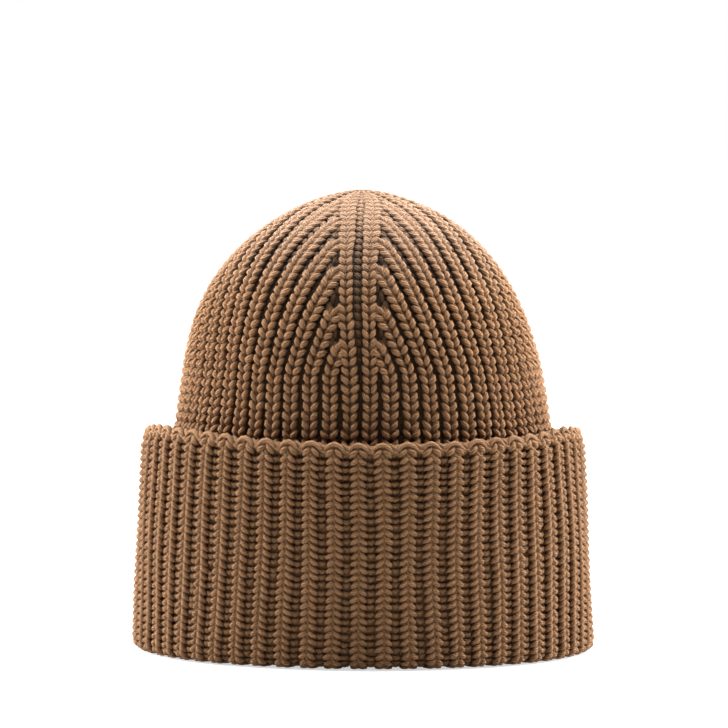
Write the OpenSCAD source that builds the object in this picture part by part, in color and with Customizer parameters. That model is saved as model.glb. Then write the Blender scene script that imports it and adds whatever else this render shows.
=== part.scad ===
// Ribbed knit beanie with a deep turned-up cuff, standing on the fold of its cuff.
// +Z is up, -Y is the front, and the origin is the middle of the circle that it stands on.

/* [Crown] */
// Outer radius where the crown leaves the cuff
crown_r = 80.6; // [70:0.2:84]
// Height of the crown from there to its top
crown_rise = 100.6; // [70:0.2:130]
// How far each side leans in, for each millimetre of height
side_lean = 0.14; // [0:0.01:0.2]
// Fullness of the crown's shoulders
shoulder = 3.4; // [2:0.1:4]
// Roundness of the crown's top
top_round = 1.7; // [1.4:0.1:2.2]
// Radius of the ring of last stitches that is drawn together
gather_r = 4; // [3:0.5:6]
// Radius of the knot inside, which secures the gathering yarn
knot_r = 3; // [2:0.5:5]

/* [Knit] */
// Thickness of one layer of the rib, over the raised wales
knit_t = 4.4; // [3:0.1:6]
// Height of a raised wale over the sunk ones
wale_h = 1.4; // [0.6:0.1:2]
// Raised wales round the whole hat
wales = 58; // [40:2:70]
// Share of the pitch that a raised wale fills
wale_fill = 0.68; // [0.5:0.02:0.8]
// How deep a raised wale is rooted in its wall
wale_root = 0.8; // [0.3:0.1:1.2]
// How far a raised wale stops short of the wall's ends
wale_end = 0.6; // [0.3:0.1:2]
// Width of the linking seam
seam_w = 2.6; // [1.5:0.1:4]

/* [Cuff] */
// Height of the cuff, from its fold to its cast-on edge
cuff_h = 93; // [60:1:110]
// Outer radius of the cuff just above its fold
hem_r = 98.4; // [94:0.2:110]
// How far the cuff narrows towards its edge
cuff_taper = 4.9; // [2:0.1:8]
// Height of the rolled fold
fold_h = 5.6; // [4:0.2:8]
// Width of the flat ring that it rests on
rest_w = 1.8; // [1:0.1:4]
// Height of the cast-on edge
edge_h = 4; // [2:0.5:8]
// How far the cast-on edge stands proud of the cuff
edge_lip = 0.5; // [0:0.1:1.5]
// Crown that shows straight above the cuff
reveal = 2; // [0.5:0.5:10]
// How far the cuff is tugged down over the ears
cuff_travel = 25; // [10:1:45]

/* [Label] */
// Width of the care label
label_w = 26; // [15:1:40]
// Length that hangs below the stitching
label_len = 38; // [20:1:45]
// Thickness of the care label
label_t = 0.6; // [0.4:0.1:1.2]
// Height of the label's sewn edge
label_top = 62; // [55:1:70]
// Width of the row of stitches that holds the label
stitch_h = 2.2; // [1:0.2:4]
// How far the stitches stand off the band
stitch_t = 1.8; // [1.6:0.1:3]

/* [Fits] */
// Gap between the band and the fold that it seats on
seat_gap = 0.3; // [0.2:0.05:0.6]
// Gap between the band and the cuff that slides over it
run_gap = 0.5; // [0.3:0.05:1]
// Gap round the care label
label_gap = 0.5; // [0.4:0.05:1]

/* [Hidden] */
$fn = 180;
pitch = 360 / wales;
spring_z = cuff_h + reveal;
hat_h = spring_z + crown_rise;
band_z = fold_h + seat_gap;
edge_z = cuff_h - edge_h;
seam_a = 2 * asin(seam_w / 2 / hem_r);
sections = 18;
corner_steps = 6;
front_a = -90;
back_a = 90;

// A value that runs evenly from a at height z0 to b at height z1.
function between(z, z0, a, z1, b) = a + (b - a) * (z - z0) / (z1 - z0);

// Outer and inner radius of the cuff's wall.
function cuff_out(z) = hem_r - cuff_taper * (z - fold_h) / (cuff_h - fold_h);
function cuff_in(z) = cuff_out(z) - knit_t;

// The band clears the cuff's wall wherever the cuff slides to.
band_hem_r = cuff_in(band_z + cuff_travel) - run_gap;
function band_out(z) = between(z, band_z, band_hem_r, spring_z, crown_r);
function band_in(z) = band_out(z) - knit_t;

// The crown's radius, sunk by `deep` below its surface, at a share u of the way up.
function crown_at(u, deep) =
    (crown_r - deep - side_lean * u * crown_rise) * pow(1 - pow(u, shoulder), 1 / top_round);
function crown_point(u, deep) =
    [max(crown_at(u, deep), gather_r), spring_z + u * (crown_rise - deep)];
// Shares of the way up, closer together near the top.
function way_up(i) = 1 - pow(1 - i / sections, 2);
// The line up the crown's side, from the cuff to the ring of last stitches.
function crown_line(deep) = concat(
    [for (i = [0 : sections - 1]) crown_point(way_up(i), deep)],
    [[gather_r, hat_h - deep]]
);
// The same list the other way round.
function turned(list) = [for (i = [len(list) - 1 : -1 : 0]) list[i]];

// Part of a shell of revolution, over `span` degrees about the direction `middle`.
module sector(middle, span) {
    rotate([0, 0, middle - span / 2]) rotate_extrude(angle = span) children();
}

// The crown's section between two depths under its surface.
module crown_wall(outer, inner) {
    polygon(concat(crown_line(outer), turned(crown_line(inner))));
}

// A raised wale on the crown, from just above its lower edge to near the last stitches.
module crown_wale() {
    shares = concat([wale_end / crown_rise], [for (i = [1 : sections - 2]) way_up(i)]);
    polygon(concat(
        [for (u = shares) crown_point(u, 0)],
        [for (u = turned(shares)) crown_point(u, wale_h + wale_root)]
    ));
}

// A wall between two heights, from its outer to its inner radius.
module straight_wall(z0, z1, out0, out1, in0, in1) {
    polygon([[in0, z0], [out0, z0], [out1, z1], [in1, z1]]);
}

// A wall of the cuff between two heights and two depths.
module cuff_wall(z0, z1, outer, inner) {
    straight_wall(z0, z1, cuff_out(z0) - outer, cuff_out(z1) - outer,
        cuff_out(z0) - inner, cuff_out(z1) - inner);
}

// A wall of the band between two depths.
module band_wall(outer, inner) {
    straight_wall(band_z, spring_z, band_out(band_z) - outer, band_out(spring_z) - outer,
        band_out(band_z) - inner, band_out(spring_z) - inner);
}

// Directions of the raised wales whose middle lies inside a span.
function wales_in(middle, span) = [
    for (k = [0 : wales - 1]) let (a = front_a + (k + 0.5) * pitch, off = (a - middle + 540) % 360 - 180)
        if (abs(off) + wale_fill * pitch / 2 < span / 2) a
];

// A quarter of the crown, with its raised wales, beside the back seam or the front line.
module crown_section(middle, span) {
    color("#a5785a") {
        sector(middle, span) crown_wall(wale_h, knit_t);
        for (a = wales_in(middle, span))
            sector(a, wale_fill * pitch) crown_wale();
    }
}

front_span = 90;
back_span = 90 - seam_a / 2;

module crown_front_left() { crown_section(front_a - 45, front_span); }
module crown_front_right() { crown_section(front_a + 45, front_span); }
module crown_back_left() { crown_section(180 - back_span / 2, back_span); }
module crown_back_right() { crown_section(back_span / 2, back_span); }

// The linking seam runs up the back of the crown, in line with the band's.
module crown_seam() {
    color("#8f6347") sector(back_a, seam_a) crown_wall(wale_h, knit_t);
}

// The last stitches, drawn together into a shallow domed ring.
module crown_gather() {
    color("#8f6347") translate([0, 0, hat_h - knit_t]) cylinder(r = gather_r, h = knit_t);
}

// The knot sits against the underside of the last stitches.
module closing_knot() {
    color("#7d5338") difference() {
        translate([0, 0, hat_h - knit_t]) sphere(r = knot_r);
        translate([-knot_r, -knot_r, hat_h - knit_t]) cube(2 * knot_r);
    }
}

// The single layer behind the cuff, which grips the head.
module inner_band() {
    color("#9a6e51") {
        sector(front_a, 360 - seam_a) band_wall(wale_h, knit_t);
    }
}

module band_seam() {
    color("#8f6347") sector(back_a, seam_a) band_wall(wale_h, knit_t);
}

// The rolled fold that joins the band to the cuff, flat underneath where it rests.
rim_in = band_in(band_z);
rim_round = (hem_r - rim_in - rest_w) / 2;
function corner(r, a0) = [
    for (i = [0 : corner_steps]) let (a = a0 + 90 * i / corner_steps)
        [r + rim_round * cos(a), fold_h + fold_h * sin(a)]
];
module fold_rim() {
    color("#a5785a") rotate_extrude()
        polygon(concat(corner(rim_in + rim_round, 180), corner(hem_r - rim_round, 270)));
}

// The cuff's outer layer, with its raised wales.
module outer_cuff() {
    color("#a5785a") {
        sector(front_a, 360 - seam_a) cuff_wall(fold_h, edge_z, wale_h, knit_t);
        for (a = wales_in(front_a, 360 - seam_a))
            sector(a, wale_fill * pitch)
                cuff_wall(fold_h + wale_end, edge_z - wale_end, 0, wale_h + wale_root);
    }
}

module cuff_seam() {
    color("#8f6347") sector(back_a, seam_a) cuff_wall(fold_h, edge_z, wale_h, knit_t);
}

// The cast-on edge, a round rope along the cuff's top.
module cast_on_edge() {
    out = cuff_out(cuff_h) + edge_lip;
    inside = cuff_in(cuff_h);
    half = (out - inside) / 2;
    color("#b08565") rotate_extrude() polygon(concat(
        [[inside, edge_z], [out, edge_z]],
        [for (i = [0 : 2 * corner_steps]) let (a = 90 * i / corner_steps)
            [inside + half + half * cos(a), cuff_h - half + half * sin(a)]]
    ));
}

// The label hangs straight down from its sewn edge, clear of the band.
label_out = sqrt(pow(band_in(label_top), 2) - pow(label_w / 2, 2)) - label_gap;
module care_label() {
    color("#e6e1d6") translate([-label_w / 2, label_out - label_t, label_top - label_len])
        cube([label_w, label_t, label_len]);
}

// The stitches lie along the band, just above the label.
module label_stitching() {
    z0 = label_top + label_gap;
    z1 = z0 + stitch_h;
    color("#d8cdbb") sector(back_a, 2 * asin(label_w / 2 / band_in(label_top)))
        straight_wall(z0, z1, band_in(z0), band_in(z1), band_in(z0) - stitch_t, band_in(z1) - stitch_t);
}

crown_front_left();
crown_front_right();
crown_back_left();
crown_back_right();
crown_seam();
crown_gather();
closing_knot();
inner_band();
band_seam();
fold_rim();
outer_cuff();
cuff_seam();
cast_on_edge();
care_label();
label_stitching();
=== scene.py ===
"""A ribbed knit beanie with a turned-up cuff, laid stitch by stitch around its frame."""

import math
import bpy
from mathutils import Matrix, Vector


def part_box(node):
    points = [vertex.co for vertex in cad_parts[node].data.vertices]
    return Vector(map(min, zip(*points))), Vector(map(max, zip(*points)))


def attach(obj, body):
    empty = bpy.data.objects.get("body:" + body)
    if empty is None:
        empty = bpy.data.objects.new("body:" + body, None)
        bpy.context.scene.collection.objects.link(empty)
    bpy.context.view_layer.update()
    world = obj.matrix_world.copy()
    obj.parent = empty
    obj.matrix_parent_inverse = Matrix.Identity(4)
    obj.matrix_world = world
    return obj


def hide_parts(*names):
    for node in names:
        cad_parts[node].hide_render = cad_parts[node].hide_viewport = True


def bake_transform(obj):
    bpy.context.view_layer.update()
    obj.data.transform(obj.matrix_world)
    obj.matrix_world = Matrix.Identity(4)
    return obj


bl_info = {
    "name": "Ribbed Knit Beanie",
    "version": (1, 0, 0),
    "blender": (4, 5, 0),
    "location": "View3D > Sidebar > Beanie",
    "description": "Knits a ribbed beanie with a turned-up cuff, one stitch at a time",
    "category": "Add Mesh",
}

import bmesh
import bpy
import numpy as np
from bpy.props import FloatProperty, FloatVectorProperty, IntProperty, PointerProperty
from mathutils import Vector

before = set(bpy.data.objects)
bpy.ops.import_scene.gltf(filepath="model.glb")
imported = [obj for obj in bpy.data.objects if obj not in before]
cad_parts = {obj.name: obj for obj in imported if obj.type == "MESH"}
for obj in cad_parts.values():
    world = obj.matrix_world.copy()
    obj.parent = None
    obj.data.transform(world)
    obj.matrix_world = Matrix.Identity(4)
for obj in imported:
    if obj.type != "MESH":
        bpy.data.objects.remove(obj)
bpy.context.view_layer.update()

MM = 0.001
TURN = 2 * math.pi
QUARTER = TURN / 4
FRONT = -QUARTER
BACK = QUARTER

# The walls' main sizes, taken from the frame
SPRING_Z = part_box("crown_front_left")[0].z
HAT_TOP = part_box("crown_gather")[1].z
CROWN_R = -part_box("crown_front_left")[0].y
CUFF_TOP_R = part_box("cast_on_edge")[1].x
EDGE_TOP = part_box("cast_on_edge")[1].z
EDGE_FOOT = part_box("cast_on_edge")[0].z
HEM_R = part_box("fold_rim")[1].x
FOLD_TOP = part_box("fold_rim")[1].z
BAND_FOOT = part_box("inner_band")[0].z
LABEL_LOW, LABEL_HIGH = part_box("care_label")
TAB_LOW, TAB_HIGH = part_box("label_stitching")
KNOT_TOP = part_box("closing_knot")[1].z
GATHER_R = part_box("crown_gather")[1].x

# The crown's outline: how far its side leans in, how square its shoulder is, how round its top is
SIDE_LEAN = 0.14
SHOULDER = 3.4
TOP_ROUND = 1.7
# The flat ring that the fold rests on
REST_W = 1.8 * MM

# The slow waves of the cloth: height in millimetres, waves round the hat, radians up a metre, and start
WAVES_OUT = ((0.40, 3, 38, 1.1), (0.28, 5, -61, 0.3), (0.16, 11, 90, 2.0))
WAVES_ROUND = ((0.30, 4, 45, 0.7), (0.15, 9, -80, 0))
WAVES_UP = ((0.35, 5, 0, 1.9), (0.22, 13, 0, 0.4))
# The waves die away within this reach of the axis and of the floor
WAVES_REACH = 60 * MM
# The crown leans sideways by so many millimetres, between two heights
LEANS = ((2.1, 103, 158), (-0.7, 165, 190))
# How much the knitting is drawn upwards
DRAWN_UP = 0.006
# Below this height the stitches are pressed flat by the floor
PRESSED = 1.2 * MM

# The cuff's free edge, in millimetres: its rise beside the front, its skew and its least rise
EDGE_RISE = 4.8
EDGE_SKEW = 0.5
EDGE_LEAST = 0.3
# Where the edge droops most, and between which turns from the front its rise ends
DROOP_TURN = math.radians(6)
RISE_ENDS = math.radians(60), math.radians(108)
EDGE_CURL = 2.4 * MM

# The length of yarn in which its plies come once round
PLY_TURN = 16 * MM
# The plain cloth inside the knitting: how deep it lies and how thick it is
LINING_DEEP = 2.3 * MM
LINING_THICK = 0.6 * MM
# The stitches of the inner face lie flatter, so that they stay behind the lining
INNER_THICK = 1.9 * MM
# How light the painted shade leaves the cloth between the cuff's ribs
CUFF_FLOOR_PAINTED_SHADE = 0.55
# Between which heights a painted highlight lightens the wool towards the hat's top
PAINTED_TOP_LIGHT_FROM = 0.145, 0.2

# The way of a leg on its rib: shares of the rib's width, of the row's height and of the yarn's thickness
CROWN_LEG = (
    (0.050, -0.42, -0.66), (0.10, -0.28, -0.25), (0.16, -0.14, -0.06), (0.23, 0.0, 0.0), (0.30, 0.13, 0.0),
    (0.355, 0.25, -0.06), (0.375, 0.39, -0.20), (0.36, 0.57, -0.30), (0.32, 0.76, -0.56),
)
CUFF_LEG = (
    (0.02, -0.42, -0.34), (0.07, -0.27, -0.10), (0.155, -0.11, -0.02), (0.235, 0.02, 0.0),
    (0.32, 0.14, -0.02), (0.38, 0.26, -0.12), (0.405, 0.42, -0.30), (0.39, 0.60, -0.56),
)
# The way of the long stitch that closes a rib: shares of a rib and a row, and depth in millimetres
ARCH = (
    (-0.34, -0.8, 1.8), (-0.27, -0.2, 0.6), (-0.12, 0.25, 0.1), (0.04, 0.38, 0), (0.22, 0.15, 0.1),
    (0.40, -0.35, 0.3), (0.55, -0.95, 0.8), (0.62, -1.5, 1.8),
)
# The yarn that fills the place of a closed rib: rows above the arch, steps beside it, share of a rib
CLOSED_FILL = ((0.4, 0.5, 0.7), (1.7, 0.36, 0.5), (3.0, 0.22, 0.4))

# Rows of the crown, and of the band's outer face, which shows where the cuff is tugged down
CROWN_ROWS = 37
BAND_ROWS = 13
# Rows of the cuff's inner face, below its edge, that can be seen
CUFF_INNER_ROWS = 9
# Where the crown is narrowed: the row, and how many ribs have gone by then beside each of the four lines
NARROWING = (
    (6.6, 0.0), (9.1, 0.52), (13.8, 1.52), (18.3, 2.52),
    (22.6, 3.52), (26.4, 4.52), (30.3, 5.52), (37, 6.0),
)
RIBS_CLOSED = 6
# How near a rib comes to the line before it ends, as a share of a rib's place
LAST_BESIDE_RIB = 0.48
LAST_ON_RIB = 0.6
# How far from the line an arch closes a rib, in ribs: where two ribs stand beside the line, and one on it
ARCH_BESIDE_RIB = 0.78
ARCH_ON_RIB = 0.5
# How far up its row the arch sits
ARCH_UP = 0.85
# How wide the ribs beside the front and back lines are, by how many ribs have gone
LINE_RIB_WIDTH = ((0.2, 1), (1.5, 0.77), (3.2, 0.82), (4.6, 1))
# Between which rows the stitches crowd together, close up at the peak, and fill the groove on a line
CROWDING = ((10, 0), (26, 1))
PEAK = ((18, 0), (31, 1))
LINE_FILL = ((4, 0), (12, 0.85))
# The widest that a rib grows, as a share of its pitch at the crown's foot
WIDEST = 1.12
# How the crown's strands lie on its side, and at its top where they crowd together: their depth in
# millimetres below the crown's fullness, and how light their painted shade leaves them
LEG_DEEP = (0, 0.5)
PAD_DEEP, PAD_PAINTED_SHADE = (2.1, 0.9), (0.62, 0.97)
SHOULDER_DEEP, SHOULDER_PAINTED_SHADE = (1.6, 1.1), (0.62, 0.82)
# How deep the cuff's strands lie under the tops of its legs
CUFF_PAD_DEEP = 0.85 * MM
LINK_DEEP = 1.8 * MM

# Quarters of the turn, counted from the right side
CROWN_SECTIONS = {
    2: "crown_front_left", 3: "crown_front_right", 0: "crown_back_right", 1: "crown_back_left",
}
CUFF_LENGTHS = {"front": -1, "right": 0, "back": 1, "left": 2}
# Columns of a lining that goes all the way round
COLUMNS_ROUND = 116


class BeanieKnit(bpy.types.PropertyGroup):
    """The stitches' sizes"""

    wales: IntProperty(name="Wales", description="Ribs around the hat", default=58, min=24, max=90)
    cloth: FloatProperty(
        name="Cloth", description="Thickness of the ribbed cloth", default=4.4 * MM, unit="LENGTH"
    )
    rib_h: FloatProperty(
        name="Rib height", description="How far a rib stands above the groove beside it",
        default=1.4 * MM, unit="LENGTH",
    )
    crown_row: FloatProperty(
        name="Crown row", description="Height of one row on the crown", default=3.85 * MM, unit="LENGTH"
    )
    cuff_row: FloatProperty(
        name="Cuff row", description="Height of one row on the cuff", default=2.95 * MM, unit="LENGTH"
    )
    crown_rib: FloatProperty(
        name="Crown rib", description="Width of one rib on the crown", default=6.5 * MM, unit="LENGTH"
    )
    cuff_rib: FloatProperty(
        name="Cuff rib", description="Width of one rib on the cuff", default=6.7 * MM, unit="LENGTH"
    )
    crown_proud: FloatProperty(
        name="Crown fullness", description="How far the crown's stitches stand out of its wall",
        default=0.8 * MM, unit="LENGTH",
    )
    cuff_proud: FloatProperty(
        name="Cuff fullness", description="How far the cuff's stitches stand out of its wall",
        default=1.3 * MM, unit="LENGTH",
    )
    unevenness: FloatProperty(
        name="Unevenness", description="How much one stitch differs from the next",
        default=0.05, min=0, max=0.3, subtype="FACTOR",
    )


class BeanieColours(bpy.types.PropertyGroup):
    """The colours of the wool, and of the painted shade that darkens it between the ribs"""

    wool: FloatVectorProperty(
        name="Wool", description="Colour of the wool on top of a stitch",
        default=(0.466, 0.246, 0.117), size=3, min=0, max=1, subtype="COLOR",
    )
    # shade is painted shade: the colour that the wool is darkened towards low in the cloth and between the
    # ribs
    shade: FloatVectorProperty(
        name="Wool, deep", description="Colour of the wool between the ribs",
        default=(0.046, 0.022, 0.007), size=3, min=0, max=1, subtype="COLOR",
    )


class BeanieStage(bpy.types.PropertyGroup):
    """The floor, lamps and camera"""

    floor: FloatVectorProperty(
        name="Floor", description="Colour of the floor", default=(0.5, 0.5, 0.5),
        size=3, min=0, max=1, subtype="COLOR",
    )
    top_watts: FloatProperty(
        name="Top lamp", description="Power of the lamp above", default=51, unit="POWER"
    )
    side_watts: FloatProperty(
        name="Side lamps", description="Power of each lamp beside and behind", default=91, unit="POWER"
    )
    front_watts: FloatProperty(
        name="Front lamp", description="Power of the weak lamp in front", default=0.05, unit="POWER"
    )
    camera_away: FloatProperty(
        name="Camera distance", description="How far the camera stands away", default=2.3, unit="LENGTH"
    )
    camera_up: FloatProperty(
        name="Camera height", description="Height of the camera above the floor",
        default=0.226, unit="LENGTH",
    )
    camera_turn: FloatProperty(
        name="Camera turn", description="How far the camera stands round to the right",
        default=math.radians(1), subtype="ANGLE",
    )
    aim_z: FloatProperty(
        name="Aim", description="Height of the point that the camera looks at",
        default=0.12205, unit="LENGTH",
    )
    camera_roll: FloatProperty(
        name="Camera roll", description="How far the camera is tipped to its left",
        default=math.radians(0.4), subtype="ANGLE",
    )
    lens: FloatProperty(
        name="Lens", description="Focal length in millimetres", default=265, min=20, max=400
    )


# ---------------------------------------------------------------- walls


class Wall:
    """A line in the plane of radius and height that a knitted wall follows, measured along its length."""

    def __init__(self, points, zero_at, outward):
        r, z = np.array(points).T
        s = np.concatenate([[0], np.cumsum(np.hypot(np.diff(r), np.diff(z)))])
        s -= s[zero_at]
        slope_r, slope_z = np.gradient(r, s), np.gradient(z, s)
        spare = 12 * MM

        def run_on(values, slope):
            """The values with one more at each end, carried on along the slope."""
            first, last = values[0] - spare * slope[0], values[-1] + spare * slope[-1]
            return np.concatenate([[first], values, [last]])

        self.s, self.r, self.z = run_on(s, np.ones_like(s)), run_on(r, slope_r), run_on(z, slope_z)
        level = np.zeros_like(s)
        self.nr, self.nz = outward * run_on(slope_z, level), -outward * run_on(slope_r, level)
        self.start, self.end, self.outward = s[0], s[-1], outward

    def radius(self, s):
        return np.interp(s, self.s, self.r)

    def height(self, s):
        return np.interp(s, self.s, self.z)

    def length_at(self, z):
        """The length along the wall where it first comes to a height."""
        climb = np.maximum.accumulate(self.z * self.outward)
        return float(np.interp(z * self.outward, climb, self.s))

    def place(self, s, angle, across, out):
        """Points at a length along the wall, an angle round it, and a distance across and out of it."""
        r = self.radius(s) + out * np.interp(s, self.s, self.nr)
        z = self.height(s) + out * np.interp(s, self.s, self.nz)
        c, d = np.cos(angle), np.sin(angle)
        return np.stack([r * c - across * d, r * d + across * c, z + 0 * angle], axis=-1)


def straight(start, end, steps):
    """Points from start up to, but not on, end."""
    return [tuple(a + (b - a) * i / steps for a, b in zip(start, end)) for i in range(steps)]


def arc(centre_r, centre_z, radius, start, end, steps=10):
    turns = [start + (end - start) * i / steps for i in range(steps + 1)]
    return [(centre_r + radius * math.cos(a), centre_z + radius * math.sin(a)) for a in turns]


def hat_wall(knit):
    """The outer face of the band and crown, from the fold up to the middle of the top."""
    rise = HAT_TOP - SPRING_Z
    steps = 90
    band_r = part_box("inner_band")[1].x + knit.rib_h
    band = straight((band_r, BAND_FOOT), (CROWN_R, SPRING_Z), 12)
    crown = []
    for i in range(steps + 1):
        up = 1 - (1 - i / steps) ** 2
        r = (CROWN_R - SIDE_LEAN * up * rise) * (1 - up**SHOULDER) ** (1 / TOP_ROUND)
        crown.append((r, SPRING_Z + up * rise))
    return Wall(band + crown, len(band), 1)


def cuff_wall(knit):
    """The outer face of the cuff, from its top edge down and round under the fold."""
    inner_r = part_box("inner_band")[1].x + knit.rib_h - knit.cloth
    bend = (HEM_R - inner_r - REST_W) / 2
    side = straight((CUFF_TOP_R, EDGE_TOP), (HEM_R, bend), 24)
    outer_bend = arc(HEM_R - bend, bend, bend, 0, -QUARTER)
    inner_bend = arc(inner_r + bend, bend, bend, -QUARTER, -2 * QUARTER)
    return Wall(side + outer_bend + inner_bend + [(inner_r, FOLD_TOP)], 0, -1)


def smooth(value, start, end):
    """0 before start and 1 past end, with an eased climb between them."""
    t = np.clip((value - start) / (end - start), 0, 1)
    return t * t * (3 - 2 * t)


def waves(parts, angle, z):
    return sum(height * np.sin(count * angle + up * z + start) for height, count, up, start in parts)


def relax(co):
    """Lets the cloth wave, lean and settle, in the same way for every piece: neighbours stay together."""
    angle, z = np.arctan2(co[:, 1], co[:, 0]), co[:, 2]
    near = np.clip(np.hypot(co[:, 0], co[:, 1]) / WAVES_REACH, 0, 1)
    out, round_hat = waves(WAVES_OUT, angle, z), waves(WAVES_ROUND, angle, z)
    up = waves(WAVES_UP, angle, z) * np.clip(z / WAVES_REACH, 0, 1)
    c, d = np.cos(angle), np.sin(angle)
    moved = co.copy()
    moved[:, 0] += near * MM * (out * c - round_hat * d)
    moved[:, 1] += near * MM * (out * d + round_hat * c)
    moved[:, 2] += near * MM * up + DRAWN_UP * z
    moved[:, 0] -= sum(lean * MM * smooth(z, low * MM, high * MM) for lean, low, high in LEANS)
    low = moved[:, 2] < PRESSED
    moved[low, 2] = PRESSED * np.exp((moved[low, 2] - PRESSED) / PRESSED)
    return moved


def slacken(co):
    """The cuff's free edge: it droops at the front, stands up beside it, and curls in."""
    angle, z = np.arctan2(co[:, 1], co[:, 0]), co[:, 2]
    turn = (angle - FRONT + math.pi) % TURN - math.pi
    beside = np.abs(np.sin(turn - DROOP_TURN)) ** 1.4
    beside *= 1 - smooth(np.abs(turn), *RISE_ENDS)
    moved = co.copy()
    rise = MM * ((EDGE_RISE + EDGE_SKEW * np.sin(turn)) * beside + EDGE_LEAST)
    moved[:, 2] += rise * smooth(z, 10 * MM, EDGE_TOP)
    curl = EDGE_CURL * smooth(z, EDGE_TOP - 9 * MM, EDGE_TOP + 2 * MM)
    moved[:, :2] *= (1 - curl / np.hypot(co[:, 0], co[:, 1]))[:, None]
    return moved


# ---------------------------------------------------------------- stitches


class Stitch:
    """The shape of one strand of a stitch: x across the rib, y along the knitting, z out of the cloth."""

    def __init__(self, bm, turns):
        bm.verts.ensure_lookup_table()
        self.co = np.array([v.co for v in bm.verts])
        self.turns = np.array(turns)
        self.long = self.turns[:, 0].max()
        self.faces = [[v.index for v in f.verts] for f in bm.faces]
        bm.free()
        self.size = np.array([len(f) for f in self.faces])
        self.corners = {1: np.concatenate(self.faces), -1: np.concatenate([f[::-1] for f in self.faces])}
        self.yarn = {way: self.unwrap(way) for way in (1, -1)}
        top, low = self.co[:, 2].max(), self.co[:, 2].min()
        self.rise = np.clip((self.co[:, 2] - low) / (top - low), 0, 1)

    def unwrap(self, way):
        """The place along and around the strand at each corner, with the seam's last face kept whole."""
        yarn = []
        for f in self.faces:
            uv = self.turns[f[::way]].copy()
            poles = self.poles(uv)
            around = uv[~poles, 1]
            if around.max() - around.min() > 0.5:
                uv[:, 1] = np.where(uv[:, 1] < 0.5, uv[:, 1] + 1, uv[:, 1])
            uv[poles, 1] = uv[~poles, 1].mean()
            yarn.append(uv)
        return np.concatenate(yarn)

    def poles(self, uv):
        return (uv[:, 0] < 1e-6 * self.long) | (uv[:, 0] > (1 - 1e-6) * self.long)


def strand(sides, rings, path, width, thick, fat=0.0, blunt=0.7):
    """A plump strand of yarn along a path of (across, along, out) points, round at both ends.

    The path's heights are those of the strand's top. fat is how much thicker its far end is than its
    near one, and blunt how fast it comes to its full girth, from 1 for an egg to 0 for a capsule.
    """
    path = np.array(path, float)
    reach = np.concatenate([[0], np.cumsum(np.linalg.norm(np.diff(path, axis=0), axis=1))])
    fine = np.linspace(0, 1, 41)
    line = np.stack([np.interp(fine * reach[-1], reach, path[:, i]) for i in range(3)], axis=1)
    for _ in range(6):
        line[1:-1] = (line[:-2] + 2 * line[1:-1] + line[2:]) / 4
    slope = np.gradient(line, axis=0)
    bm = bmesh.new()
    bmesh.ops.create_uvsphere(bm, u_segments=sides, v_segments=rings, radius=1)
    turns = []
    for v in bm.verts:
        along = v.co.z
        t = (along + 1) / 2
        turns.append((t * reach[-1] / PLY_TURN, (math.atan2(v.co.y, v.co.x) / TURN) % 1))
        girth = math.hypot(v.co.x, v.co.y)
        swell = (1 + fat * along) * girth ** (blunt - 1) if girth > 1e-6 else 0
        centre = [np.interp(t, fine, line[:, i]) for i in range(3)]
        sx, sy = (np.interp(t, fine, slope[:, i]) for i in (0, 1))
        flat = math.hypot(sx, sy)
        side = v.co.x * swell * width / 2
        v.co = (
            centre[0] + side * sy / flat,
            centre[1] - side * sx / flat,
            centre[2] + (v.co.y * swell - 1) * thick / 2,
        )
    bmesh.ops.recalc_face_normals(bm, faces=bm.faces)
    return Stitch(bm, turns)


def strand_mm(path, width, thick, sides=8, rings=6, fat=0.0, blunt=0.5):
    """A strand with its path, width and thickness in millimetres."""
    path = [[value * MM for value in point] for point in path]
    return strand(sides, rings, path, width * MM, thick * MM, fat, blunt)


def bar(half, slant, sink, width, thick, sides=8, rings=5):
    """A short strand across a rib, in millimetres: its half length, its slant and how far its ends sink."""
    path = ((-half, slant, -sink), (0, 0, 0), (half, -slant, -sink))
    return strand_mm(path, width, thick, sides, rings, blunt=0.7)


def legs(way, rib, row, width, sides=8, rings=8, thick=3.1 * MM):
    """One leg of a stitch, for a rib of that width and a row of that height."""
    path = [(x * rib, y * row, h * thick) for x, y, h in way]
    return strand(sides, rings, path, width, thick, fat=0.14, blunt=0.4)


def inner_legs(knit, row):
    """The plain leg of the inner faces' stitches."""
    return legs(CROWN_LEG, knit.crown_rib, row, 3.0 * MM, sides=6, rings=4, thick=INNER_THICK)


def pad(rib, row, across, sink, wide, blunt):
    """Yarn that lies along a rib under its stitches. across and wide are shares of the rib's width."""
    reach = 0.95 * row
    path = [(across * rib, -reach, -sink), (across * rib, 0, 0), (across * rib, reach, -sink)]
    return strand(6, 4, path, wide * rib, 2.2 * MM, 0, blunt)


def rib_pad(rib, row):
    """The yarn that lies under the middle of a stitch and fills the rib."""
    return pad(rib, row, 0, 0.5 * MM, 0.66, 0.4)


def side_pad(rib, row):
    """The yarn that lies under one leg of a stitch and fills the hollow between two rows."""
    return pad(rib, row, 0.215, 0.3 * MM, 0.47, 0.3)


def shares(rng, knit, count):
    """A little unevenness for each stitch, around 1."""
    return 1 + rng.normal(0, knit.unevenness, count).clip(-0.2, 0.2)


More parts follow.
